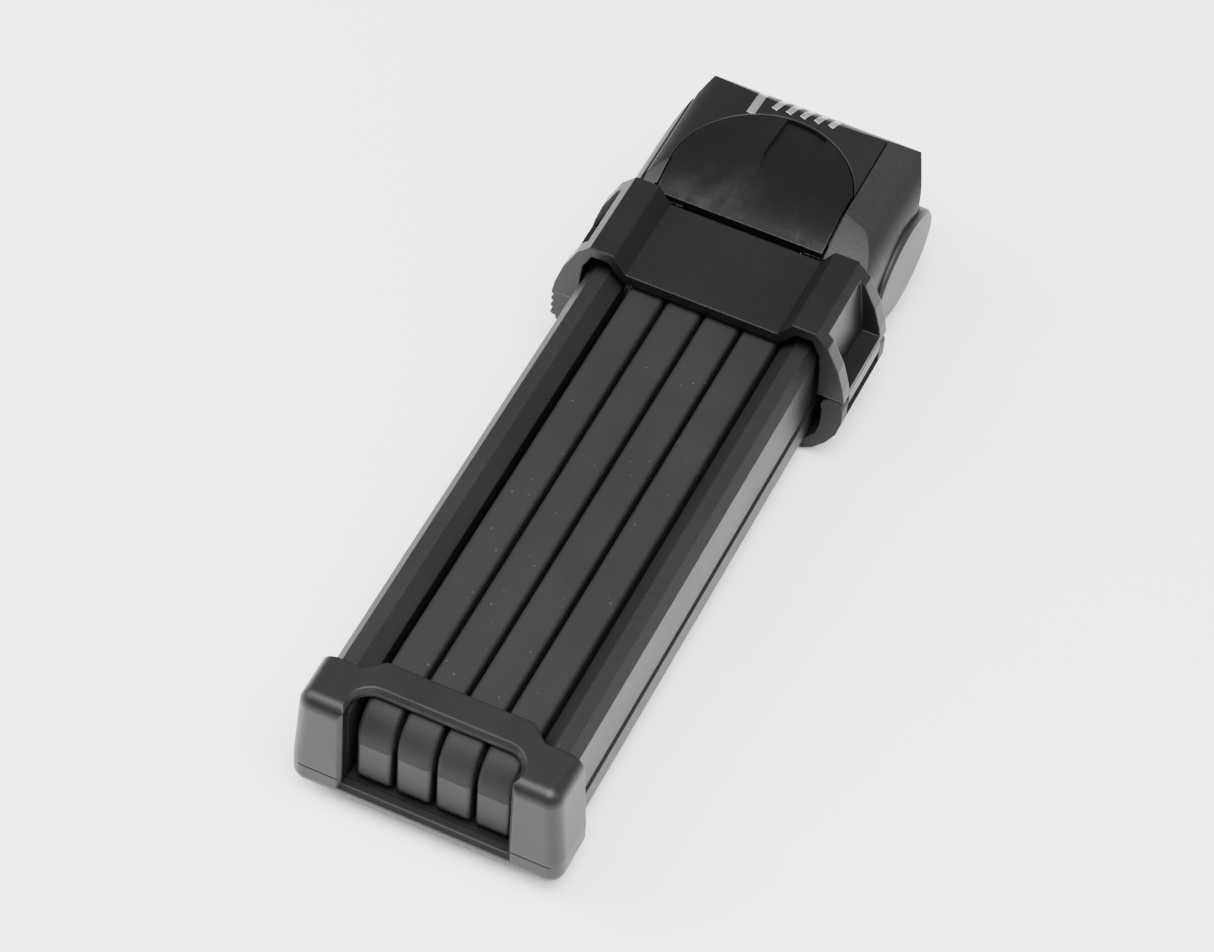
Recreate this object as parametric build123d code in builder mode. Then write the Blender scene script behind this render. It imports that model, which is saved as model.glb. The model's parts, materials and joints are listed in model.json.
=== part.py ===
"""Folding bike lock stored in its frame bracket.

Frame: +Y runs from the end cup towards the lock head, +Z points out of the open front, +X to the right.
The origin lies midway between the two bottle-cage bolts, on the face that meets the bicycle tube.
All sizes are in millimetres.
"""
from build123d import *
import math
import os

os.makedirs("parts", exist_ok=True)

# ---- driving dimensions -------------------------------------------------------------------------
bolt_spacing = 64.0            # bottle-cage bosses on a bicycle frame
bolt_hole_radius = 2.75

link_count = 4
link_pitch = 9.0               # side by side, 8 mm of covered bar and 1 mm of air
link_thickness = 8.0
link_depth = 22.0
link_front_z = 30.5
stack_centre_x = 0.45
plate_thickness = 5.0
plate_depth = 18.0
cover_seam_z = 21.3
lower_pivot_y = -60.4
pivot_pitch = 131.4
rivet_radius = 3.0
rivet_head_radius = 5.0
rivet_head_height = 1.1
running_gap = 0.05
cover_hole_radius = 5.7
foot_front_radius = 7.6
foot_back_radius = 3.0

tray_half_width = 27.8
tray_floor_z = 6.0
tray_floor_thickness = 2.0
tray_bottom_y = -71.6
tray_top_y = 82.6
rail_inner_x = 18.9
rail_top_z = 32.2
spine_half_width = 9.0

cup_end_y = -74.7
cup_front_z = 33.4
cup_bottom_z = 4.0
cup_edge_y = -58.7
cup_shoulder_y = -62.2
window_half_width = 18.9
window_top_y = -66.1
window_bottom_z = 8.6
rim_bevel = 0.9
parting_z = 10.6

strap_bottom_y = 58.4
strap_top_y = 82.3
panel_front_z = 34.5
panel_half_width = 18.0
ridge_x = 21.2
ridge_z = 38.9
strap_hinge_x = 32.6
strap_hinge_z = 17.6
strap_hinge_radius = 1.2
strap_knuckle_radius = 2.6

head_bottom_y = 84.2
head_top_y = 126.0
head_back_z = 6.4
crown_z = 38.3
side_shoulder_z = 35.9
head_wall = 2.2
head_split_z = 19.0
head_seam = 0.3
right_seam_x = 17.55
left_seam_x = -27.2

flap_centre_x = -2.5
flap_centre_y = 95.0
flap_radius = 20.7
flap_right_x = 17.2
flap_bottom_y = 85.1
flap_thickness = 1.9
thumb_depth = 1.1
flap_gap = 0.35
flap_axis_y = 86.9
flap_axis_z = 30.4
flap_pin_radius = 0.8

cylinder_x = -2.0
cylinder_y = 100.5
plug_radius = 6.0
housing_radius = 8.4
housing_back_z = 21.6
housing_front_z = 30.6
spigot_radius = 2.5
bolt_radius = 14.85
bolt_half_angle = 30

# ---- sizes worked out from the driving ones --------------------------------------------------------
upper_pivot_y = lower_pivot_y + pivot_pitch
link_centre_z = link_front_z - link_depth / 2
link_x = [stack_centre_x + (i - (link_count - 1) / 2) * link_pitch for i in range(link_count)]
plate_half = plate_thickness / 2
ear_inner_x = link_x[0] - link_thickness / 2 - 0.3
ear_outer_x = ear_inner_x - 3.0
tray_top_of_floor = tray_floor_z + tray_floor_thickness


def save(piece, name):
    """Label one finished piece and write it as its own file."""
    piece.part.label = name
    export_step(piece.part, f"parts/{name}.step")


def across(y):
    """A plane square to the length of the lock; its normal points towards the end cup."""
    return Plane.XZ.offset(-y)


def side(x):
    """A plane square to the rivets: its own axes are the row's Y and Z."""
    return Plane.YZ.offset(x)


def block(x, y, z, mode=Mode.ADD):
    """A box given by its low and high limits along each axis."""
    with Locations(((x[0] + x[1]) / 2, (y[0] + y[1]) / 2, (z[0] + z[1]) / 2)):
        Box(x[1] - x[0], y[1] - y[0], z[1] - z[0], mode=mode)


def rod_x(x, y, z, radius, mode=Mode.ADD):
    """A round bar along X."""
    with BuildSketch(side(x[0])) as section:
        with Locations((y, z)):
            Circle(radius)
    extrude(section.sketch, amount=x[1] - x[0], mode=mode)


def rod_y(x, y, z, radius, mode=Mode.ADD):
    """A round bar along Y."""
    with BuildSketch(across(y[1])) as section:
        with Locations((x, z)):
            Circle(radius)
    extrude(section.sketch, amount=y[1] - y[0], mode=mode)


def rod_z(x, y, z, radius, mode=Mode.ADD):
    """A round bar along Z."""
    with BuildSketch(Plane.XY.offset(z[0])) as section:
        with Locations((x, y)):
            Circle(radius)
    extrude(section.sketch, amount=z[1] - z[0], mode=mode)


def bar_outline(depth):
    """The long outline of one bar, round at both pivots, on a side() plane."""
    with Locations(((lower_pivot_y + upper_pivot_y) / 2, link_centre_z)):
        SlotCenterToCenter(pivot_pitch, depth)


# ---- links ------------------------------------------------------------------------------------------
tongue_top_y = 112.0
tongue_depth = 10.0
notch_y = cylinder_y
notch_half = 6.7
notch_depth = 1.7
notch_bottom_z = 13.0
notch_top_z = 19.6


def link_plate(index):
    """Hardened steel bar; the last one ends in the tongue that the lock head grips."""
    x = link_x[index]
    last = index == link_count - 1
    with BuildPart() as plate:
        with BuildSketch(side(x - plate_half)):
            bar_outline(plate_depth)
        extrude(amount=plate_thickness)
        holes = [lower_pivot_y] if last else [lower_pivot_y, upper_pivot_y]
        for y in holes:
            turns_on_pin = (y == lower_pivot_y and index in (1, 3)) or (y == upper_pivot_y and index in (0, 2))
            radius = rivet_radius + (running_gap if turns_on_pin else 0)
            rod_x((x - plate_half, x + plate_half), y, link_centre_z, radius, Mode.SUBTRACT)
        if last:
            half = tongue_depth / 2
            block((x - plate_half, x + plate_half), (upper_pivot_y, tongue_top_y),
                  (link_centre_z - half, link_centre_z + half))
            block((x - plate_half - 1, x - plate_half + notch_depth), (notch_y - notch_half, notch_y + notch_half),
                  (notch_bottom_z, notch_top_z), Mode.SUBTRACT)
            chamfer(plate.edges().filter_by(Axis.X).group_by(Axis.Y)[-1], 1.6)
    return plate


def link_cover(index, plate, front):
    """One half of the moulded cover round a bar: the front half is rubber, the back half is harder."""
    x = link_x[index]
    half = link_thickness / 2
    with BuildPart() as cover:
        with BuildSketch(side(x - half)) as outline:
            bar_outline(link_depth)
            with Locations((lower_pivot_y, link_centre_z)):
                Rectangle(link_depth / 2, link_depth, align=(Align.MAX, Align.CENTER))
            front_corners = outline.vertices().filter_by_position(Axis.Y, link_front_z - 0.1, 40)
            fillet(front_corners.sort_by(Axis.X)[0], foot_front_radius)
            back_corners = outline.vertices().filter_by_position(Axis.Y, 0, link_front_z - link_depth + 0.1)
            fillet(back_corners.sort_by(Axis.X)[0], foot_back_radius)
        extrude(amount=link_thickness)
        rim = cover.faces().filter_by(Axis.X).edges()
        fillet(rim, 1.1)
        add(plate.part, mode=Mode.SUBTRACT)
        last = index == link_count - 1
        for y in ([lower_pivot_y] if last else [lower_pivot_y, upper_pivot_y]):
            rod_x((x - half, x + half), y, link_centre_z, cover_hole_radius, Mode.SUBTRACT)
        reach = (lower_pivot_y - link_depth, upper_pivot_y + link_depth)
        if front:
            block((x - half, x + half), reach, (0, cover_seam_z), Mode.SUBTRACT)
        else:
            block((x - half, x + half), reach, (cover_seam_z, link_front_z + 1), Mode.SUBTRACT)
    return cover


for number in range(link_count):
    bar = link_plate(number)
    save(bar, f"link_{number + 1}_plate")
    save(link_cover(number, bar, True), f"link_{number + 1}_front_cover")
    save(link_cover(number, bar, False), f"link_{number + 1}_back_cover")


def rivet(left, right, y, left_head):
    """Pivot rivet: shank from left to right with a flat head past each end."""
    with BuildPart() as pin:
        rod_x((left - left_head, left), y, link_centre_z, rivet_head_radius)
        rod_x((left, right + running_gap), y, link_centre_z, rivet_radius)
        rod_x((right + running_gap, right + running_gap + rivet_head_height), y, link_centre_z, rivet_head_radius)
        chamfer(pin.faces().sort_by(Axis.X)[-1].edges(), 0.4)
    return pin


def washer(left, right, y):
    """Thrust washer on the rivet, in the gap between two bars."""
    with BuildPart() as ring:
        rod_x((left, right), y, link_centre_z, rivet_head_radius + 0.3)
        rod_x((left, right), y, link_centre_z, rivet_radius, Mode.SUBTRACT)
    return ring


for number, height in enumerate([lower_pivot_y, upper_pivot_y, lower_pivot_y]):
    plate_left = link_x[number] - plate_half
    gap_left = link_x[number] + plate_half
    gap_right = link_x[number + 1] - plate_half
    plate_right = link_x[number + 1] + plate_half
    name = f"{number + 1}_{number + 2}"
    save(rivet(plate_left, plate_right, height, rivet_head_height), f"rivet_{name}")
    save(washer(gap_left, gap_right - running_gap, height), f"washer_{name}")

head_rivet = rivet(ear_outer_x, link_x[0] + plate_half, upper_pivot_y, 0.6)
save(head_rivet, "rivet_head_1")
head_washer = washer(ear_inner_x, link_x[0] - plate_half - running_gap, upper_pivot_y)
save(head_washer, "washer_head_1")

# ---- bracket: tray, end cup and what holds them ---------------------------------------------------------
groove_z = 14.0
rib_count = 5
core_length = 20.0
core_pitch = 24.0
core_start_y = -60.0


def rail_profile(sign):
    """Section of one side rail, drawn from the inner foot over the lip to the outer foot."""
    points = [
        (rail_inner_x, tray_floor_z), (rail_inner_x, rail_top_z - 3.0), (22.2, rail_top_z),
        (25.4, rail_top_z), (tray_half_width - 0.4, rail_top_z - 2.4), (tray_half_width - 0.4, groove_z + 0.7),
        (tray_half_width - 1.3, groove_z + 0.4), (tray_half_width - 1.3, groove_z - 0.4),
        (tray_half_width, groove_z - 0.7), (tray_half_width, tray_floor_z + 1.2),
        (tray_half_width - 1.2, tray_floor_z),
    ]
    Polygon([(sign * x, z) for x, z in points], align=None)


with BuildPart() as tray:
    for sign in (-1, 1):
        with BuildSketch(across(tray_top_y)):
            rail_profile(sign)
        extrude(amount=tray_top_y - tray_bottom_y)
    block((-rail_inner_x, rail_inner_x), (tray_bottom_y, tray_top_y), (tray_floor_z, tray_top_of_floor))
    block((-spine_half_width, spine_half_width), (-52, 54), (0, tray_floor_z))
    for sign in (-1, 1):
        for number in range(rib_count):
            start = core_start_y + number * core_pitch
            wide = sorted((sign * (rail_inner_x + 1.8), sign * (tray_half_width - 3.0)))
            block(wide, (start, start + core_length), (tray_floor_z, rail_top_z - 5.2), Mode.SUBTRACT)
    pocket_outer = ear_outer_x - 1.2
    block((pocket_outer, -rail_inner_x + 0.1), (60.0, tray_top_y), (tray_top_of_floor, rail_top_z), Mode.SUBTRACT)
    for y in (-bolt_spacing / 2, bolt_spacing / 2):
        rod_z(0, y, (0, tray_top_of_floor), bolt_hole_radius, Mode.SUBTRACT)
        rod_z(0, y, (3.6, tray_top_of_floor), 5.4, Mode.SUBTRACT)
    for y in (-12.0, 12.0):
        block((-spine_half_width, spine_half_width), (y - 3.0, y + 3.0), (2.0, 4.2), Mode.SUBTRACT)
    for y in (-44.0, 0.0, 44.0):
        rod_z(0, y, (0, 2.2), 2.0, Mode.SUBTRACT)
save(tray, "tray")

with BuildPart() as liner:
    for x in link_x:
        block((x - 1.6, x + 1.6), (-24.0, 24.0), (tray_top_of_floor, tray_top_of_floor + 0.4))
save(liner, "anti_rattle_pads")

with BuildPart() as pads:
    for y in (-44.0, 0.0, 44.0):
        rod_z(0, y, (0, 2.2), 2.0)
save(pads, "frame_pads")


with BuildPart() as cup:
    with BuildSketch(across(cup_edge_y)) as outline:
        Polygon([(-29.2, cup_front_z), (29.2, cup_front_z), (30.8, 12.0), (30.8, cup_bottom_z), (-30.8, cup_bottom_z),
                 (-30.8, 12.0)], align=None)
        fillet(outline.vertices().filter_by_position(Axis.Y, 0, cup_bottom_z + 0.1), 3.6)
        fillet(outline.vertices().filter_by_position(Axis.Y, cup_front_z - 0.1, 40), 3.6)
    extrude(amount=cup_edge_y - cup_end_y)
    fillet(cup.faces().sort_by(Axis.Y)[0].edges(), 3.2)
    with BuildSketch(Plane.XY.offset(cup_bottom_z - 1)):
        for sign in (-1, 1):
            with BuildLine():
                Polyline((sign * 16.5, cup_edge_y + 1), (sign * 16.5, cup_edge_y), (sign * 20.5, cup_shoulder_y),
                         (sign * 33, cup_shoulder_y), (sign * 33, cup_edge_y + 1), close=True)
            make_face()
    extrude(amount=40, mode=Mode.SUBTRACT)
    with BuildSketch(across(cup_edge_y)):
        with BuildLine():
            Polyline((-28.0, 6.0), (28.0, 6.0), (28.0, 22.0), (27.4, 30.2), (25.4, 32.3), (22.0, 32.3), (19.5, 31.3),
                     (-19.5, 31.3), (-22.0, 32.3), (-25.4, 32.3), (-27.4, 30.2), (-28.0, 22.0), close=True)
        make_face()
    extrude(amount=cup_edge_y - tray_bottom_y, mode=Mode.SUBTRACT)
    for plane, height, taper in ((window_bottom_z, 40, 0), (cup_front_z - rim_bevel, 4, -45)):
        with BuildSketch(Plane.XY.offset(plane)) as window_plan:
            with Locations((0, cup_end_y - 6)):
                Rectangle(2 * window_half_width, window_top_y - cup_end_y + 6, align=(Align.CENTER, Align.MIN))
            fillet(window_plan.vertices().sort_by(Axis.Y)[-2:], 4.5)
        extrude(amount=height, taper=taper, mode=Mode.SUBTRACT)
    with BuildSketch(across(cup_end_y + rim_bevel)):
        with Locations((0, window_bottom_z)):
            Rectangle(2 * window_half_width, 40, align=(Align.CENTER, Align.MIN))
    extrude(amount=4, taper=-45, mode=Mode.SUBTRACT)
    for sign in (-1, 1):
        block(sorted((sign * (window_half_width - 0.1), sign * 40)), (cup_end_y - 0.1, cup_end_y + 0.25),
              (parting_z, parting_z + 0.3), Mode.SUBTRACT)
save(cup, "end_cup")

# ---- strap: bridge over the bars, latch on its left end, tail and hinge on its right end ----------------
strap_length = strap_top_y - strap_bottom_y
knuckle_end = 3.4
pin_span = (strap_bottom_y + 1.0, strap_top_y - 1.0)
latch_catch_z = 11.6
pocket_floor_z = 22.0


def strap_flank(sign):
    """Outer and inner outline of one side of the bridge, from the middle of its panel down to its end."""
    outer = [(0, panel_front_z), (panel_half_width, panel_front_z), (ridge_x, ridge_z), (26.8, ridge_z),
             (30.0, 35.6), (33.0, 29.5), (34.6, 24.0), (35.2, 20.6)]
    inner = [(28.9, 20.6), (28.6, 28.0), (28.2, 32.2), (26.2, 36.3), (22.3, 36.3), (18.9, 31.9), (0, 31.9)]
    return [(sign * x, z) for x, z in outer + inner]


with BuildPart() as bridge:
    with BuildSketch(across(strap_top_y)):
        for sign in (-1, 1):
            with BuildLine():
                Polyline(*strap_flank(sign), close=True)
            make_face()
    extrude(amount=strap_length)
    with BuildSketch(across(strap_top_y - 3.3)):
        for sign in (-1, 1):
            with BuildLine():
                Polyline((sign * 28.6, 37.5), (sign * 30.7, pocket_floor_z), (sign * 40, pocket_floor_z),
                         (sign * 40, 37.5), close=True)
            make_face()
    extrude(amount=strap_length - 6.6, mode=Mode.SUBTRACT)
    middle = (strap_bottom_y + knuckle_end, strap_top_y - knuckle_end)
    block((30.0, 35.2), middle, (strap_hinge_z, 21.0))
    rod_y(strap_hinge_x, middle, strap_hinge_z, strap_knuckle_radius)
    rod_y(strap_hinge_x, middle, strap_hinge_z, strap_hinge_radius + running_gap, Mode.SUBTRACT)
save(bridge, "strap_bridge")

with BuildPart() as latch:
    with BuildSketch(across(strap_top_y - 1.0)):
        with BuildLine():
            Polyline((-34.9, 20.6), (-35.0, 16.0), (-34.2, 11.0), (-32.0, 8.4), (-28.6, 8.4), (-28.6, 10.9),
                     (-30.6, 11.4), (-30.9, 14.0), (-30.9, 20.6), close=True)
        make_face()
    extrude(amount=strap_length - 2.0)
    for z in (19.4, 17.2, 15.0, 12.8):
        rod_y(-34.8, (strap_bottom_y + 1.0, strap_top_y - 1.0), z, 0.8)
save(latch, "strap_latch")

with BuildPart() as catch:
    block((-30.3, -tray_half_width), (strap_bottom_y + 2, strap_top_y - 2), (latch_catch_z, latch_catch_z + 1.6))
    chamfer(catch.edges().filter_by(Axis.Y).group_by(Axis.X)[0], 0.7)
save(catch, "latch_catch")

with BuildPart() as tail:
    with BuildSketch(across(strap_top_y)):
        with BuildLine():
            Polyline((35.2, 13.4), (34.3, 9.6), (32.2, 5.9), (29.3, 2.7), (25.5, 0.8), (11.0, 0.8), (11.0, 3.4),
                     (24.6, 3.4), (27.4, 4.9), (29.4, 7.5), (30.3, 10.6), (30.4, 13.4), close=True)
        make_face()
    extrude(amount=strap_length)
    block((12.0, 19.0), (strap_bottom_y, strap_top_y), (3.4, tray_floor_z))
    ends = ((strap_bottom_y, strap_bottom_y + knuckle_end - 0.3), (strap_top_y - knuckle_end + 0.3, strap_top_y))
    for end in ends:
        block((30.4, 35.2), end, (13.4, strap_hinge_z))
        rod_y(strap_hinge_x, end, strap_hinge_z, strap_knuckle_radius)
    rod_y(strap_hinge_x, pin_span, strap_hinge_z, strap_hinge_radius, Mode.SUBTRACT)
save(tail, "strap_tail")

with BuildPart() as strap_pin:
    rod_y(strap_hinge_x, pin_span, strap_hinge_z, strap_hinge_radius)
save(strap_pin, "strap_hinge_pin")

# ---- lock head ------------------------------------------------------------------------------------------
core_y = (86.6, 120.0)
core_z = (10.4, 28.4)
core_x = (-24.6, 24.0)
bolt_z = (14.6, 18.4)


def head_body(inset):
    """The whole head as one crowned block, drawn in from its outside by the given amount."""
    with BuildPart() as body:
        with BuildSketch(Plane.XY) as plan:
            Polygon([(-30, head_bottom_y), (-30, 103), (-24.5, head_top_y), (23.5, head_top_y), (30, 112),
                     (30, head_bottom_y)], align=None)
            fillet(plan.vertices().filter_by_position(Axis.Y, 102, 104), 90)
            fillet(plan.vertices().filter_by_position(Axis.Y, 111, 113), 16)
            fillet(plan.vertices().filter_by_position(Axis.Y, head_top_y - 0.2, head_top_y + 1), 6.5)
            if inset:
                offset(amount=-inset, mode=Mode.REPLACE)
        extrude(amount=60)
        with BuildSketch(across(head_top_y + 10)) as section:
            Polygon([(-30, 11), (-30, side_shoulder_z), (0, crown_z), (30, side_shoulder_z), (30, 11),
                     (25.6, head_back_z), (-25.6, head_back_z)], align=None)
            fillet(section.vertices().filter_by_position(Axis.Y, crown_z - 0.1, crown_z + 1), 250)
            shoulders = section.vertices().filter_by_position(Axis.Y, side_shoulder_z - 0.1, side_shoulder_z + 0.1)
            fillet(shoulders, 8.0)
            fillet(section.vertices().filter_by_position(Axis.Y, 0, 11.1), 2.6)
            if inset:
                offset(amount=-inset, mode=Mode.REPLACE)
        extrude(amount=60, mode=Mode.INTERSECT)
        with BuildSketch(side(-40)) as profile:
            Polygon([(head_bottom_y, 33.4), (98, crown_z), (121, 37.6), (head_top_y, 30.5), (head_top_y, 12),
                     (121.5, head_back_z), (head_bottom_y, head_back_z)], align=None)
            fillet(profile.vertices().filter_by_position(Axis.X, 97.9, 98.1), 60)
            fillet(profile.vertices().filter_by_position(Axis.X, 120.9, 121.1), 7)
            fillet(profile.vertices().filter_by_position(Axis.Y, 30.4, 30.6), 4)
            low_corners = profile.vertices().filter_by_position(Axis.Y, 0, 12.1)
            fillet(low_corners.filter_by_position(Axis.X, 121, 127), 2.6)
            if inset:
                offset(amount=-inset, mode=Mode.REPLACE)
        extrude(amount=80, mode=Mode.INTERSECT)
    return body.part


def flap_outline(gap):
    """Outline of the key flap: straight at the bottom and up both sides, round at the top."""
    with Locations((flap_centre_x, flap_centre_y)):
        Circle(flap_radius + gap)
    left_x = flap_centre_x - flap_radius - gap
    with Locations((left_x, flap_centre_y)):
        Rectangle(flap_right_x + gap - left_x, flap_centre_y - flap_bottom_y + gap, align=(Align.MIN, Align.MAX))
    with Locations((flap_right_x + gap, 60)):
        Rectangle(60, 120, align=(Align.MIN, Align.MIN), mode=Mode.SUBTRACT)
    with Locations((0, flap_bottom_y - gap)):
        Rectangle(120, 60, align=(Align.CENTER, Align.MAX), mode=Mode.SUBTRACT)


def thumb_outline():
    """Shield-shaped thumb recess in the outer edge of the flap."""
    Polygon([(-4.4, 120), (-5.3, 104.0), (-4.5, 99.6), (-0.4, 95.9), (3.9, 98.6), (5.6, 103.6), (5.6, 120)],
            align=None)


head_outside = head_body(0)
head_inside = head_body(head_wall)
flap_under = head_body(flap_thickness)
thumb_under = head_body(thumb_depth)
flap_floor = head_body(head_wall - 0.1)
flap_floor_inside = head_body(head_wall + 1.6)
tongue_x = link_x[-1]

with BuildPart() as back_cover:
    add(head_outside)
    add(head_inside, mode=Mode.SUBTRACT)
    block((-40, 40), (60, 140), (head_split_z, 60), Mode.SUBTRACT)
    block((right_seam_x, 40), (60, 140), (0, 60), Mode.SUBTRACT)
    block((-40, left_seam_x), (60, 140), (0, 60), Mode.SUBTRACT)
    block((-24, 18), (head_bottom_y - 1, head_bottom_y + 3), (10.6, head_split_z + 1), Mode.SUBTRACT)
    for x, y in ((-19, 119), (-19, 91), (13, 119), (13, 91)):
        rod_z(x, y, (head_back_z, head_back_z + 3), 1.6, Mode.SUBTRACT)
        rod_z(x, y, (head_back_z, head_back_z + 1.2), 2.8, Mode.SUBTRACT)
save(back_cover, "head_back_cover")

with BuildPart() as flap_well:
    add(flap_floor)
    add(flap_floor_inside, mode=Mode.SUBTRACT)
    with BuildSketch(Plane.XY.offset(core_z[1] + 0.3)):
        flap_outline(flap_gap + 0.6)
    extrude(amount=30, mode=Mode.INTERSECT)

with BuildPart() as front_cover:
    add(head_outside)
    add(head_inside, mode=Mode.SUBTRACT)
    block((-40, 40), (60, 140), (0, head_split_z + head_seam), Mode.SUBTRACT)
    with BuildSketch(Plane.XY.offset(28)):
        flap_outline(flap_gap)
    extrude(amount=20, mode=Mode.SUBTRACT)
    add(flap_well.part)
    block((right_seam_x, 40), (60, 140), (0, 60), Mode.SUBTRACT)
    block((-40, left_seam_x + head_seam), (60, 140), (0, 60), Mode.SUBTRACT)
    rod_x((-24, right_seam_x), flap_axis_y, flap_axis_z, 3.0, Mode.SUBTRACT)
    block((-24, right_seam_x), (head_bottom_y - 1, flap_axis_y), (flap_axis_z - 3.0, 40), Mode.SUBTRACT)
    rod_z(cylinder_x, cylinder_y, (24, 40), housing_radius + 0.1, Mode.SUBTRACT)
    block((-24, 18), (head_bottom_y - 1, head_bottom_y + 3), (head_split_z, 29.4), Mode.SUBTRACT)
save(front_cover, "head_front_cover")

with BuildPart() as right_cover:
    add(head_outside)
    add(head_inside, mode=Mode.SUBTRACT)
    block((-40, right_seam_x + head_seam), (60, 140), (0, 60), Mode.SUBTRACT)
save(right_cover, "side_cover_right")

with BuildPart() as left_trim:
    add(head_outside)
    add(head_inside, mode=Mode.SUBTRACT)
    block((left_seam_x, 40), (60, 140), (0, 60), Mode.SUBTRACT)
save(left_trim, "side_trim_left")

with BuildPart() as side_cap:
    with BuildSketch(side(26.0)):
        with Locations((102.8, 19.6)):
            Ellipse(15.8, 11.0)
    extrude(amount=5.3)
    chamfer(side_cap.faces().sort_by(Axis.X)[-1].edges(), 0.7)
    add(head_outside, mode=Mode.SUBTRACT)
save(side_cap, "side_cap_right")

with BuildPart() as core:
    block((-24.6, 24.0), core_y, core_z)
    with BuildSketch(side(ear_outer_x)):
        with Locations((upper_pivot_y, link_centre_z)):
            Circle(8.6)
        with Locations(((upper_pivot_y + core_y[1]) / 2, link_centre_z)):
            Rectangle(core_y[1] - upper_pivot_y, 17.2)
    extrude(amount=ear_inner_x - ear_outer_x)
    rod_x((ear_outer_x, ear_inner_x), upper_pivot_y, link_centre_z, rivet_radius, Mode.SUBTRACT)
    block((tongue_x - plate_half - 0.3, tongue_x + plate_half + 0.3), (core_y[0], tongue_top_y + 0.6),
          (link_centre_z - tongue_depth / 2 - 0.3, link_centre_z + tongue_depth / 2 + 0.3), Mode.SUBTRACT)
    rod_z(cylinder_x, cylinder_y, (housing_back_z, core_z[1]), housing_radius, Mode.SUBTRACT)
    rod_z(cylinder_x, cylinder_y, (bolt_z[0], core_z[1]), plug_radius + 0.4, Mode.SUBTRACT)
    with BuildSketch(Plane.XY.offset(bolt_z[0] - 0.1)):
        with Locations((cylinder_x, cylinder_y)):
            Circle(bolt_radius + 0.35)
        with Locations((-10.2, cylinder_y - 8.1)):
            Rectangle(30, 30, align=(Align.MIN, Align.MIN), mode=Mode.INTERSECT)
    extrude(amount=bolt_z[1] - bolt_z[0] + 0.4, mode=Mode.SUBTRACT)
    chamfer(core.edges().filter_by(Axis.Z).group_by(Axis.Y)[-1], 7.0)
save(core, "lock_core")

with BuildPart() as housing:
    rod_z(cylinder_x, cylinder_y, (housing_back_z, housing_front_z), housing_radius)
    rod_z(cylinder_x, cylinder_y, (housing_back_z, housing_front_z), plug_radius + running_gap, Mode.SUBTRACT)
save(housing, "cylinder_housing")

with BuildPart() as bezel:
    rod_z(cylinder_x, cylinder_y, (housing_front_z, housing_front_z + 0.8), housing_radius)
    rod_z(cylinder_x, cylinder_y, (housing_front_z, housing_front_z + 0.8), plug_radius - 0.6, Mode.SUBTRACT)
save(bezel, "keyhole_bezel")

with BuildPart() as plug:
    rod_z(cylinder_x, cylinder_y, (housing_back_z - 0.8, housing_front_z - 0.1), plug_radius)
    block((cylinder_x - 1.1, cylinder_x + 1.1), (cylinder_y - 3.6, cylinder_y + 3.6),
          (housing_front_z - 8.0, housing_front_z), Mode.SUBTRACT)
save(plug, "cylinder_plug")

with BuildPart() as cam:
    rod_z(cylinder_x, cylinder_y, (bolt_z[1], housing_back_z - 0.8), plug_radius)
    rod_z(cylinder_x, cylinder_y, bolt_z, spigot_radius)
save(cam, "bolt_cam")

with BuildPart() as bolt:
    with BuildSketch(Plane.XY.offset(bolt_z[0])) as fan:
        with Locations((cylinder_x, cylinder_y)):
            Circle(bolt_radius)
        reach = 2 * bolt_radius
        Polygon([(cylinder_x, cylinder_y)] + [
            (cylinder_x + reach, cylinder_y + sign * reach * math.tan(math.radians(bolt_half_angle)))
            for sign in (-1, 1)], align=None, mode=Mode.INTERSECT)
        with Locations((cylinder_x, cylinder_y)):
            Circle(plug_radius)
            Circle(spigot_radius, mode=Mode.SUBTRACT)
    extrude(amount=bolt_z[1] - bolt_z[0])
save(bolt, "locking_bolt")

with BuildPart() as screws:
    for x, y in ((-19, 119), (-19, 91), (13, 119), (13, 91)):
        rod_z(x, y, (head_back_z + 0.2, head_back_z + 1.2), 2.6)
        rod_z(x, y, (head_back_z + 1.2, core_z[0]), 1.5)
save(screws, "head_screws")

with BuildPart() as thumb_recess:
    with BuildSketch(Plane.XY.offset(31.9)):
        thumb_outline()
    extrude(amount=20)
    add(thumb_under, mode=Mode.SUBTRACT)

with BuildPart() as flap:
    add(head_outside)
    add(flap_under, mode=Mode.SUBTRACT)
    with BuildSketch(Plane.XY.offset(31.9)):
        flap_outline(0)
    extrude(amount=20, mode=Mode.INTERSECT)
    add(thumb_recess.part, mode=Mode.SUBTRACT)
    rod_x((-12.0, 12.0), flap_axis_y, flap_axis_z, 1.4)
    block((-12.0, 12.0), (flap_axis_y - 1.0, flap_axis_y + 1.0), (flap_axis_z, 33.0))
    rod_x((-12.0, 12.0), flap_axis_y, flap_axis_z, flap_pin_radius + running_gap, Mode.SUBTRACT)
save(flap, "key_flap")

with BuildPart() as flap_pin:
    rod_x((-15.0, 15.0), flap_axis_y, flap_axis_z, flap_pin_radius)
save(flap_pin, "flap_hinge_pin")

with BuildPart() as knuckles:
    for x in ((-15.0, -12.3), (12.3, 15.0)):
        rod_x(x, flap_axis_y, flap_axis_z, 1.3)
        block(x, (flap_axis_y - 0.3, flap_axis_y + 1.3), (core_z[1], flap_axis_z))
        rod_x(x, flap_axis_y, flap_axis_z, flap_pin_radius, Mode.SUBTRACT)
save(knuckles, "flap_hinge_lugs")
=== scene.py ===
"""Looks of the folding bike lock in its frame bracket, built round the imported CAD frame."""
import json
import math

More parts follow.
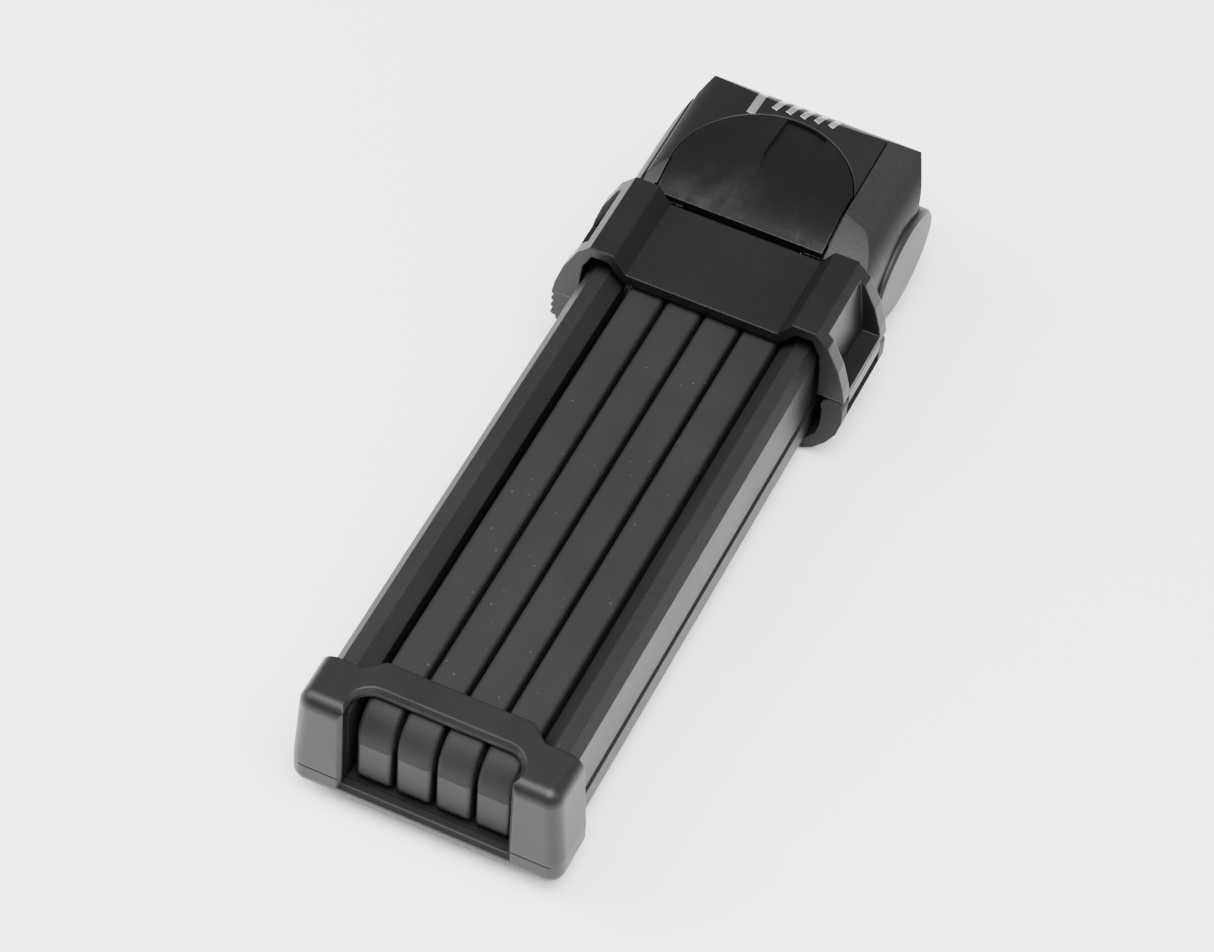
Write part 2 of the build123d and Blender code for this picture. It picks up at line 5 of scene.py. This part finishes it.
import bpy
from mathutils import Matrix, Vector


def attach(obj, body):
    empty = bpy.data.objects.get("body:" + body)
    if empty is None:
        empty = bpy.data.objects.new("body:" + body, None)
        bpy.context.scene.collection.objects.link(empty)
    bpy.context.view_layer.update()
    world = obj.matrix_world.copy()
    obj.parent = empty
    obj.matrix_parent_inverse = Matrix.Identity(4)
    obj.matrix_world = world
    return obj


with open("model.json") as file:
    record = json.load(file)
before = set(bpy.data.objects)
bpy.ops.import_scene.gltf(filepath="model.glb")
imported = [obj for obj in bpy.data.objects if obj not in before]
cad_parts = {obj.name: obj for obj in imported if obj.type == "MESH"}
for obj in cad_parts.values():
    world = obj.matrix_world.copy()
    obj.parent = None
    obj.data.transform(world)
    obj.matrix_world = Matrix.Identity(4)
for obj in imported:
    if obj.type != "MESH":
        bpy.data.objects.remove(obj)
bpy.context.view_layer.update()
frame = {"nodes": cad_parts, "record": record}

MM = 0.001
nodes = frame["nodes"]


# ---- shader arithmetic ------------------------------------------------------------------------------
class Signal:
    """A socket in a material. Arithmetic on signals adds the Math nodes for it."""

    def __init__(self, tree, socket=None):
        self.tree = tree
        self.socket = socket

    def node(self, kind, settings=None, sockets=None, output=0):
        """Adds one node: its settings first, then the value or the link of each socket."""
        made = self.tree.nodes.new(kind)
        for name, value in (settings or {}).items():
            setattr(made, name, value)
        for name, value in (sockets or {}).items():
            if isinstance(value, Signal):
                self.tree.links.new(value.socket, made.inputs[name])
            else:
                made.inputs[name].default_value = value
        return Signal(self.tree, made.outputs[output])

    def maths(self, operation, first, second):
        return self.node("ShaderNodeMath", {"operation": operation}, {0: first, 1: second})

    def __add__(self, other):
        return self.maths("ADD", self, other)

    __radd__ = __add__

    def __sub__(self, other):
        return self.maths("SUBTRACT", self, other)

    def __rsub__(self, other):
        return self.maths("SUBTRACT", other, self)

    def __mul__(self, other):
        return self.maths("MULTIPLY", self, other)

    __rmul__ = __mul__

    def ramp(self, low, high, start=0.0, end=1.0):
        """Runs from start to end as this signal goes from low to high, and stays within them."""
        return self.node("ShaderNodeMapRange", {"interpolation_type": "SMOOTHSTEP"},
                         {"Value": self, "From Min": low, "From Max": high, "To Min": start, "To Max": end})


class Finish:
    """One material: its principled shader, object coordinates, and the patterns that the pieces share."""

    def __init__(self, name):
        self.material = bpy.data.materials.new(name)
        self.material.use_nodes = True
        tree = self.material.node_tree
        self.shader = tree.nodes["Principled BSDF"]
        self.start = Signal(tree)
        self.place = self.start.node("ShaderNodeTexCoord", output="Object")

    def stretched(self, scale):
        return self.start.node("ShaderNodeMapping", {"vector_type": "POINT"},
                               {"Vector": self.place, "Scale": scale})

    def noise(self, per_metre, detail=2.0, roughness=0.5, where=None):
        return self.start.node("ShaderNodeTexNoise", {}, {
            "Vector": where or self.place, "Scale": per_metre, "Detail": detail, "Roughness": roughness})

    def flecks(self, per_metre, size):
        """Small scattered dots: 1 inside a dot and 0 elsewhere."""
        cells = self.start.node("ShaderNodeTexVoronoi", {"feature": "F1"},
                                {"Vector": self.place, "Scale": per_metre}, "Distance")
        return cells.ramp(size * 0.6, size, 1.0, 0.0)

    def edges(self, radius):
        """The softened normal at edges, and a mask that is 1 along them."""
        soft = self.start.node("ShaderNodeBevel", {"samples": 6}, {"Radius": radius})
        sharp = self.start.node("ShaderNodeNewGeometry", output="Normal")
        along = self.start.node("ShaderNodeVectorMath", {"operation": "DOT_PRODUCT"},
                                {0: soft, 1: sharp}, "Value")
        return soft, (1.0 - along).ramp(0.01, 0.16)

    def mixed(self, factor, first, second):
        """A colour that runs from first to second; 6, 7 and 2 are the node's colour sockets."""
        return self.start.node("ShaderNodeMix", {"data_type": "RGBA"}, {0: factor, 6: first, 7: second}, 2)

    def bump(self, height, distance, strength, normal=None):
        sockets = {"Height": height, "Distance": distance, "Strength": strength}
        if normal:
            sockets["Normal"] = normal
        return self.start.node("ShaderNodeBump", {}, sockets)

    def set(self, **values):
        """Sets the shader's own sockets; a name's underscores stand for spaces."""
        for name, value in values.items():
            socket = self.shader.inputs[name.replace("_", " ")]
            if isinstance(value, Signal):
                self.start.tree.links.new(value.socket, socket)
            else:
                socket.default_value = value
        return self.material


def grey(level, warm=0.0):
    return (level * (1 + warm), level, level * (1 - warm), 1.0)


def moulded(name, level, rough, grain, depth, worn=0.35, edge=0.35 * MM, specular=0.24, flow=0.12):
    """Injection-moulded black plastic: spark texture, slow shading of the surface, rubbed edges."""
    finish = Finish(name)
    soft, rubbed = finish.edges(edge)
    cloud = finish.noise(38.0, 3.0, 0.55)
    flow_lines = finish.noise(90.0, 2.0, 0.5, finish.stretched((1.0, 0.22, 1.0)))
    spark = finish.noise(grain, 3.0, 0.62)
    fine = finish.noise(grain * 2.7, 1.0, 0.5)
    tone = (cloud * 0.6 + flow_lines * 0.4).ramp(0.3, 0.7)
    body = finish.mixed(tone, grey(level * (1 - flow)), grey(level * (1 + flow)))
    pitted = finish.mixed(spark.ramp(0.35, 0.7, 0.0, 0.5), body, grey(level * 1.5))
    colour = finish.mixed(rubbed * worn * cloud.ramp(0.35, 0.65, 0.4, 1.0), pitted, grey(level * 3.2))
    roughness = rough + (tone - 0.5) * 0.06 + (spark - 0.5) * 0.10 - rubbed * 0.06
    height = spark * 0.7 + fine * 0.3
    return finish.set(Base_Color=colour, Roughness=roughness, Specular_IOR_Level=specular,
                      Normal=finish.bump(height, depth, 1.0, soft))


def rubber(name, level, rough, specks, edge=0.3 * MM, specular=0.18):
    """Black rubber cover: velvety, with a faint moulding grain and pale dust in its pores."""
    finish = Finish(name)
    soft, rubbed = finish.edges(edge)
    cloud = finish.noise(55.0, 4.0, 0.6)
    drag = finish.noise(160.0, 2.0, 0.5, finish.stretched((1.0, 0.12, 1.0)))
    pore = finish.noise(2600.0, 2.0, 0.6)
    dust = finish.flecks(420.0, specks) * finish.noise(120.0, 1.0).ramp(0.5, 0.62)
    tone = (cloud * 0.65 + drag * 0.35).ramp(0.32, 0.68)
    body = finish.mixed(tone, grey(level * 0.86, 0.02), grey(level * 1.14, 0.02))
    dusty = finish.mixed(dust * 0.55, body, grey(level * 5.5, 0.02))
    colour = finish.mixed(rubbed * 0.3, dusty, grey(level * 2.4, 0.02))
    return finish.set(Base_Color=colour, Roughness=rough + (pore - 0.5) * 0.12 + (tone - 0.5) * 0.05,
                      Specular_IOR_Level=specular,
                      Normal=finish.bump(pore * 0.8 + dust * 0.2, 0.05 * MM, 1.0, soft))


def metal(name, colour, rough, stretch, per_metre, depth=0.01 * MM):
    """Ground or plated metal: fine lines one way, and a slow change of polish."""
    finish = Finish(name)
    soft, rubbed = finish.edges(0.2 * MM)
    lines = finish.noise(per_metre, 3.0, 0.6, finish.stretched(stretch))
    cloud = finish.noise(140.0, 3.0, 0.6)
    dark = tuple(c * 0.78 for c in colour) + (1.0,)
    bright = tuple(min(1.0, c * 1.12) for c in colour) + (1.0,)
    shade = finish.mixed((lines * 0.5 + cloud * 0.5).ramp(0.3, 0.7), dark, bright)
    return finish.set(Base_Color=finish.mixed(rubbed * 0.4, shade, bright), Metallic=1.0,
                      Roughness=rough + (lines - 0.5) * 0.16 + (cloud - 0.5) * 0.10,
                      Normal=finish.bump(lines, depth, 1.0, soft))


def glossy(name, level, rough):
    """Polished black cover: deep gloss, faint swirls from handling and a soft orange-peel wave."""
    finish = Finish(name)
    soft, rubbed = finish.edges(0.4 * MM)
    wave = finish.noise(260.0, 2.0, 0.5)
    smear = finish.noise(70.0, 4.0, 0.65, finish.stretched((1.0, 0.5, 1.0)))
    hair = finish.noise(900.0, 2.0, 0.6, finish.stretched((1.0, 0.06, 1.0)))
    body = finish.mixed(smear.ramp(0.4, 0.7), grey(level * 0.85), grey(level * 1.2))
    colour = finish.mixed(rubbed * 0.35, body, grey(level * 3.0))
    roughness = rough + smear.ramp(0.45, 0.75) * 0.10 + hair.ramp(0.6, 0.8) * 0.04
    return finish.set(Base_Color=colour, Roughness=roughness, Coat_Weight=0.12,
                      Coat_Roughness=0.12, Specular_IOR_Level=0.22,
                      Normal=finish.bump(wave, 0.012 * MM, 1.0, soft))


def nylon(name):
    """Natural nylon of the thrust washers: waxy off-white with grey metal dust worked into it."""
    finish = Finish(name)
    soft, rubbed = finish.edges(0.15 * MM)
    cloud = finish.noise(500.0, 3.0, 0.6)
    colour = finish.mixed(cloud.ramp(0.4, 0.7), (0.62, 0.60, 0.54, 1), (0.40, 0.39, 0.36, 1))
    return finish.set(Base_Color=colour, Roughness=0.42 + (cloud - 0.5) * 0.2, Subsurface_Weight=0.1,
                      Normal=finish.bump(cloud, 0.02 * MM, 1.0, soft))


finishes = {
    "tray_plastic": moulded("rail_spark_texture", 0.0036, 0.50, 1500.0, 0.055 * MM),
    "cup_plastic": moulded("cup_satin", 0.0036, 0.42, 2600.0, 0.020 * MM, worn=0.25, edge=0.5 * MM),
    "strap_plastic": moulded("strap_satin", 0.0032, 0.38, 2800.0, 0.015 * MM, worn=0.3, edge=0.5 * MM),
    "strap_rubber": rubber("strap_tail_rubber", 0.010, 0.6, 0.10),
    "soft_rubber": rubber("pad_rubber", 0.013, 0.75, 0.12),
    "link_rubber": rubber("link_cover_rubber", 0.0065, 0.66, 0.13),
    "link_plastic": moulded("link_back_plastic", 0.0034, 0.46, 2400.0, 0.020 * MM),
    "hardened_steel": metal("ground_hardened_steel", (0.46, 0.46, 0.47), 0.36, (1.0, 0.05, 1.0), 1500.0),
    "plated_steel": metal("zinc_plated_steel", (0.62, 0.63, 0.65), 0.28, (0.3, 1.0, 1.0), 900.0),
    "brass": metal("turned_brass", (0.70, 0.52, 0.26), 0.26, (1.0, 1.0, 0.08), 1400.0),
    "washer_nylon": nylon("washer_natural_nylon"),
    "head_plastic": moulded("head_satin", 0.0034, 0.40, 2600.0, 0.018 * MM, worn=0.25, edge=0.6 * MM),
    # The right side cover (0.0055) and its cap (0.0062) are lighter than the same black plastics elsewhere:
    # painted light, standing in for the light that falls on the right side.
    "textured_plastic": moulded("side_cover_spark_texture_with_painted_light", 0.0055, 0.52, 1300.0, 0.075 * MM, edge=0.5 * MM),
    "cap_plastic": moulded("side_cap_satin_with_painted_light", 0.0062, 0.46, 2400.0, 0.025 * MM, edge=0.5 * MM),
    "gloss_flap": glossy("key_flap_gloss", 0.0028, 0.20),
}
for part in frame["record"]["subparts"]:
    mesh = nodes[part["node"]].data
    mesh.materials.clear()
    mesh.materials.append(finishes[part["material_slot"]])

# ---- plain silver bars printed on the crown of the head ---------------------------------------------
silver = metal("printed_silver", (0.74, 0.74, 0.76), 0.30, (1.0, 1.0, 1.0), 1800.0)


class Steps:
    """A geometry node tree being built, with one way to add a node."""

    def __init__(self, name, inputs):
        self.tree = bpy.data.node_groups.new(name, "GeometryNodeTree")
        self.tree.interface.new_socket("Geometry", in_out="OUTPUT", socket_type="NodeSocketGeometry")
        self.identifiers = {}
        for label, kind in inputs.items():
            socket = self.tree.interface.new_socket(label, in_out="INPUT", socket_type=kind)
            self.identifiers[label] = socket.identifier
        self.given = self.tree.nodes.new("NodeGroupInput").outputs

    def node(self, kind, settings=None, sockets=None):
        """Adds one node: its settings first, then the value or the link of each socket."""
        made = self.tree.nodes.new(kind)
        for name, value in (settings or {}).items():
            setattr(made, name, value)
        for name, value in (sockets or {}).items():
            if isinstance(value, bpy.types.NodeSocket):
                self.tree.links.new(value, made.inputs[name])
            else:
                made.inputs[name].default_value = value
        return made.outputs

    def joined(self, *geometries):
        made = self.tree.nodes.new("GeometryNodeJoinGeometry")
        for geometry in geometries:
            self.tree.links.new(geometry, made.inputs[0])
        return made.outputs[0]

    def end(self, geometry, material):
        """Every tree ends here: instances made real, then the material."""
        real = self.node("GeometryNodeRealizeInstances", {}, {"Geometry": geometry})
        painted = self.node("GeometryNodeSetMaterial", {}, {"Geometry": real[0], "Material": material})
        self.tree.links.new(painted[0], self.tree.nodes.new("NodeGroupOutput").inputs[0])

    def run(self, name, values):
        """Runs the tree with these values and returns a plain mesh object at the origin."""
        maker = bpy.data.objects.new(name + "_maker", bpy.data.meshes.new(name + "_maker"))
        bpy.context.scene.collection.objects.link(maker)
        modifier = maker.modifiers.new("steps", "NODES")
        modifier.node_group = self.tree
        for label, value in values.items():
            modifier[self.identifiers[label]] = value
        finished = maker.evaluated_get(bpy.context.evaluated_depsgraph_get())
        mesh = bpy.data.meshes.new_from_object(finished)
        bpy.data.objects.remove(maker)
        piece = bpy.data.objects.new(name, mesh)
        bpy.context.scene.collection.objects.link(piece)
        return piece


def printed_bars(surface, material):
    """Steps for a row of thin slanted bars that lie on a surface, each a closed film of ink."""
    steps = Steps("printed_bars", {
        "Count": "NodeSocketInt", "Pitch": "NodeSocketFloat", "Width": "NodeSocketFloat",
        "Length": "NodeSocketFloat", "Shortening": "NodeSocketFloat", "Slant": "NodeSocketFloat",
        "Start": "NodeSocketVector", "Film": "NodeSocketFloat"})
    given = steps.given
    pitch = steps.node("ShaderNodeCombineXYZ", {}, {"X": given["Pitch"]})
    row = steps.node("GeometryNodeMeshLine", {"mode": "OFFSET"}, {
        "Count": given["Count"], "Start Location": given["Start"], "Offset": pitch[0]})
    bar = steps.node("GeometryNodeMeshGrid", {}, {
        "Size X": given["Width"], "Size Y": given["Length"], "Vertices X": 5, "Vertices Y": 25})
    index = steps.node("GeometryNodeInputIndex")
    less = steps.node("ShaderNodeMath", {"operation": "MULTIPLY"}, {0: index[0], 1: given["Shortening"]})
    share = steps.node("ShaderNodeMath", {"operation": "SUBTRACT"}, {0: 1.0, 1: less[0]})
    scale = steps.node("ShaderNodeCombineXYZ", {}, {"X": 1.0, "Y": share[0], "Z": 1.0})
    turn = steps.node("ShaderNodeCombineXYZ", {}, {"Z": given["Slant"]})
    set_out = steps.node("GeometryNodeInstanceOnPoints", {}, {
        "Points": row[0], "Instance": bar[0], "Rotation": turn[0], "Scale": scale[0]})
    flat = steps.node("GeometryNodeRealizeInstances", {}, {"Geometry": set_out[0]})
    under = steps.node("GeometryNodeObjectInfo", {"transform_space": "ORIGINAL"}, {"Object": surface})
    ray = steps.node("GeometryNodeRaycast", {"data_type": "FLOAT"}, {
        "Target Geometry": under["Geometry"], "Ray Direction": (0, 0, -1), "Ray Length": 0.2})
    laid = steps.node("GeometryNodeSetPosition", {}, {
        "Geometry": flat[0], "Selection": ray["Is Hit"], "Position": ray["Hit Position"]})
    raised = steps.node("GeometryNodeExtrudeMesh", {"mode": "FACES"}, {
        "Mesh": laid[0], "Offset Scale": given["Film"], "Individual": False})
    bottom = steps.node("GeometryNodeFlipFaces", {}, {"Mesh": laid[0]})
    closed = steps.node("GeometryNodeMergeByDistance", {}, {
        "Geometry": steps.joined(raised[0], bottom[0]), "Distance": 0.000002})
    steps.end(closed[0], material)
    return steps


ink_film = 0.06 * MM
above_head = 0.1
bars = printed_bars(nodes["head_front_cover"], silver)
rows = {
    "silver_stripe": {
        "Count": 1, "Pitch": 0.0, "Width": 2.0 * MM, "Length": 7.6 * MM, "Shortening": 0.0,
        "Slant": -0.04, "Start": (-12.9 * MM, 117.6 * MM, above_head), "Film": ink_film},
    "silver_slanted_bars": {
        "Count": 5, "Pitch": 3.3 * MM, "Width": 1.5 * MM, "Length": 4.6 * MM, "Shortening": 0.09,
        "Slant": -0.35, "Start": (-8.0 * MM, 119.4 * MM, above_head), "Film": ink_film},
}
for name, values in rows.items():
    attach(bars.run(name, values), "lock_head")

# ---- floor, light and camera ------------------------------------------------------------------------
floor_mesh = bpy.data.meshes.new("studio_floor")
reach = 6.0
corners = [(-reach, -reach, 0), (reach, -reach, 0), (reach, reach, 0), (-reach, reach, 0)]
floor_mesh.from_pydata(corners, [], [(0, 1, 2, 3)])
floor = bpy.data.objects.new("studio_floor", floor_mesh)
bpy.context.scene.collection.objects.link(floor)
paper = Finish("pale_paper")
paper_cloud = paper.noise(3.0, 2.0)
paper_tone = paper.mixed(paper_cloud.ramp(0.3, 0.7), grey(0.90), grey(0.93))
floor_mesh.materials.append(paper.set(Base_Color=paper_tone, Roughness=0.9))

world = bpy.data.worlds.new("studio")
world.use_nodes = True
sky = world.node_tree.nodes["Background"].inputs
sky["Color"].default_value = grey(1.0)
sky["Strength"].default_value = 0.5
bpy.context.scene.world = world

aim = Vector((0, 0.02, 0.02))


def softbox(name, place, width, height, power):
    """A rectangular lamp that faces the lock; sizes in metres, power in watts."""
    light = bpy.data.lights.new(name, "AREA")
    light.shape = "RECTANGLE"
    light.size = width
    light.size_y = height
    light.energy = power
    lamp = bpy.data.objects.new(name, light)
    bpy.context.scene.collection.objects.link(lamp)
    lamp.location = place
    lamp.rotation_euler = (aim - Vector(place)).to_track_quat("-Z", "Y").to_euler()


softbox("key_left", (-0.75, -0.15, 0.75), 0.7, 0.9, 20.0)
softbox("fill_right", (0.9, 0.1, 0.55), 0.6, 0.8, 5.0)
softbox("top", (0.25, -0.35, 1.5), 1.2, 1.2, 100.0)

camera_place = (0.2223, -0.5595, 0.7655)
camera_turn_deg = (39.559, -3.182, 25.115)
lens_data = bpy.data.cameras.new("camera")
lens_data.sensor_width = 36.0
lens_data.lens = 134.5
lens_data.clip_end = 20.0
camera = bpy.data.objects.new("camera", lens_data)
bpy.context.scene.collection.objects.link(camera)
camera.location = camera_place
camera.rotation_euler = [math.radians(angle) for angle in camera_turn_deg]
bpy.context.scene.camera = camera

bpy.context.view_layer.update()
